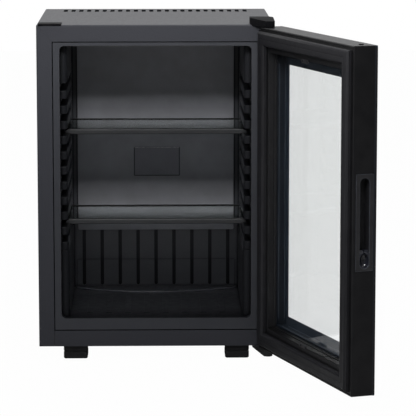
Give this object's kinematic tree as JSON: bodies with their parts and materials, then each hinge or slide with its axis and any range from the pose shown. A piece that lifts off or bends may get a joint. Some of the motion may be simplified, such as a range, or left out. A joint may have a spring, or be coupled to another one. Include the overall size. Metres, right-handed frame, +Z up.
{
  "type": "minibar fridge",
  "caption": "Small black cabinet fridge with a glazed door hung on the right, glass shelves on side runners, a finger slot in the door's edge and a heat-driven cooling unit at the back.",
  "frame": {"origin": "on the floor under the middle of the cabinet's width, in the plane of the cabinet's front face", "axes": "+X to the viewer's right, +Y from the front into the cabinet, +Z up"},
  "size_m": [0.5394, 0.7695, 0.583],
  "materials": {
    "shell_paint": "fine textured black powder coat",
    "liner_plastic": "vacuum-formed black polystyrene, semi-gloss",
    "plate_paint": "satin black enamel",
    "insulation_foam": "rigid foam",
    "hinge_paint": "satin black paint",
    "cover_plastic": "satin black moulding",
    "foot_plastic": "black moulding",
    "foot_rubber": "black rubber",
    "pin_steel": "turned steel",
    "screw_steel": "zinc-plated steel",
    "unit_paint": "black heat-resistant paint",
    "casing_steel": "galvanised sheet",
    "fin_aluminium": "bare aluminium",
    "control_plastic": "black moulding",
    "lead_rubber": "grey sleeve",
    "shelf_glass": "clear tempered glass",
    "rail_plastic": "dark grey moulding",
    "door_plastic": "satin black moulding",
    "door_glass": "clear tempered glass",
    "glass_print": "black enamel printed on the glass",
    "spacer_metal": "black anodised, perforated",
    "gasket_rubber": "soft black vinyl",
    "magnet_rubber": "bonded magnet strip",
    "handle_plastic": "satin black moulding",
    "handle_gloss": "polished black moulding",
    "bush_plastic": "acetal"
  },
  "bodies": {
    "cabinet": {"outer_shell": "shell_paint", "base_panel": "shell_paint", "rear_bulkhead": "casing_steel", "inner_liner": "liner_plastic", "insulation_foam": "insulation_foam", "cold_plate": "plate_paint", "sensor_cover": "plate_paint", "temperature_sensor": "pin_steel", "hinge_screws": "screw_steel", "foot_screws": "screw_steel", "feet": "foot_plastic", "foot_pads": "foot_rubber", "upper_hinge_bracket": "hinge_paint", "upper_hinge_pin": "pin_steel", "upper_hinge_cover": "cover_plastic", "blanking_plate": "cover_plastic", "lower_hinge_bracket": "hinge_paint", "lower_hinge_pin": "pin_steel", "boiler_casing": "casing_steel", "boiler_insulation": "insulation_foam", "boiler_tube": "unit_paint", "heater_cartridge": "pin_steel", "condenser_tube": "unit_paint", "condenser_fins": "fin_aluminium", "evaporator_tube": "unit_paint", "evaporator_clamps": "fin_aluminium", "evaporator_plug": "insulation_foam", "gas_exchanger": "unit_paint", "absorber_coil": "unit_paint", "absorber_vessel": "unit_paint", "liquor_pipe": "unit_paint", "unit_straps": "casing_steel", "control_box": "control_plastic", "power_inlet": "control_plastic", "heater_lead": "lead_rubber"},
    "door": {"door_frame": "door_plastic", "door_core": "insulation_foam", "glazing_frame": "door_plastic", "outer_glass": "door_glass", "glass_border": "glass_print", "inner_glass": "door_glass", "glass_spacer": "spacer_metal", "door_gasket": "gasket_rubber", "gasket_magnets": "magnet_rubber", "glazing_clips": "pin_steel", "handle_plate": "handle_plastic", "handle_cup": "handle_plastic", "slot_end_plug": "handle_gloss", "upper_hinge_bush": "bush_plastic", "lower_hinge_bush": "bush_plastic", "pivot_plugs": "cover_plastic"},
    "upper_shelf": {"upper_shelf_glass": "shelf_glass", "upper_shelf_front_rail": "rail_plastic", "upper_shelf_rear_rail": "rail_plastic"},
    "lower_shelf": {"lower_shelf_glass": "shelf_glass", "lower_shelf_front_rail": "rail_plastic", "lower_shelf_rear_rail": "rail_plastic"},
    "dial": {"thermostat_dial": "control_plastic"}
  },
  "joints": [
    {"name": "door_hinge", "type": "hinge", "parent": "cabinet", "child": "door", "pos_m": [0.19, -0.022, 0.2967], "axis": [0, 0, 1], "range_deg": [-108.5, 16.5]},
    {"name": "upper_shelf_slide", "type": "slide", "parent": "cabinet", "child": "upper_shelf", "axis": [0, -1, 0], "range_m": [0, 0.06]},
    {"name": "lower_shelf_slide", "type": "slide", "parent": "cabinet", "child": "lower_shelf", "axis": [0, -1, 0], "range_m": [0, 0.06]},
    {"name": "thermostat_turn", "type": "hinge", "parent": "cabinet", "child": "dial", "pos_m": [-0.157, 0.3648, 0.218], "axis": [0, 1, 0], "range_deg": [0, 270]}
  ]
}
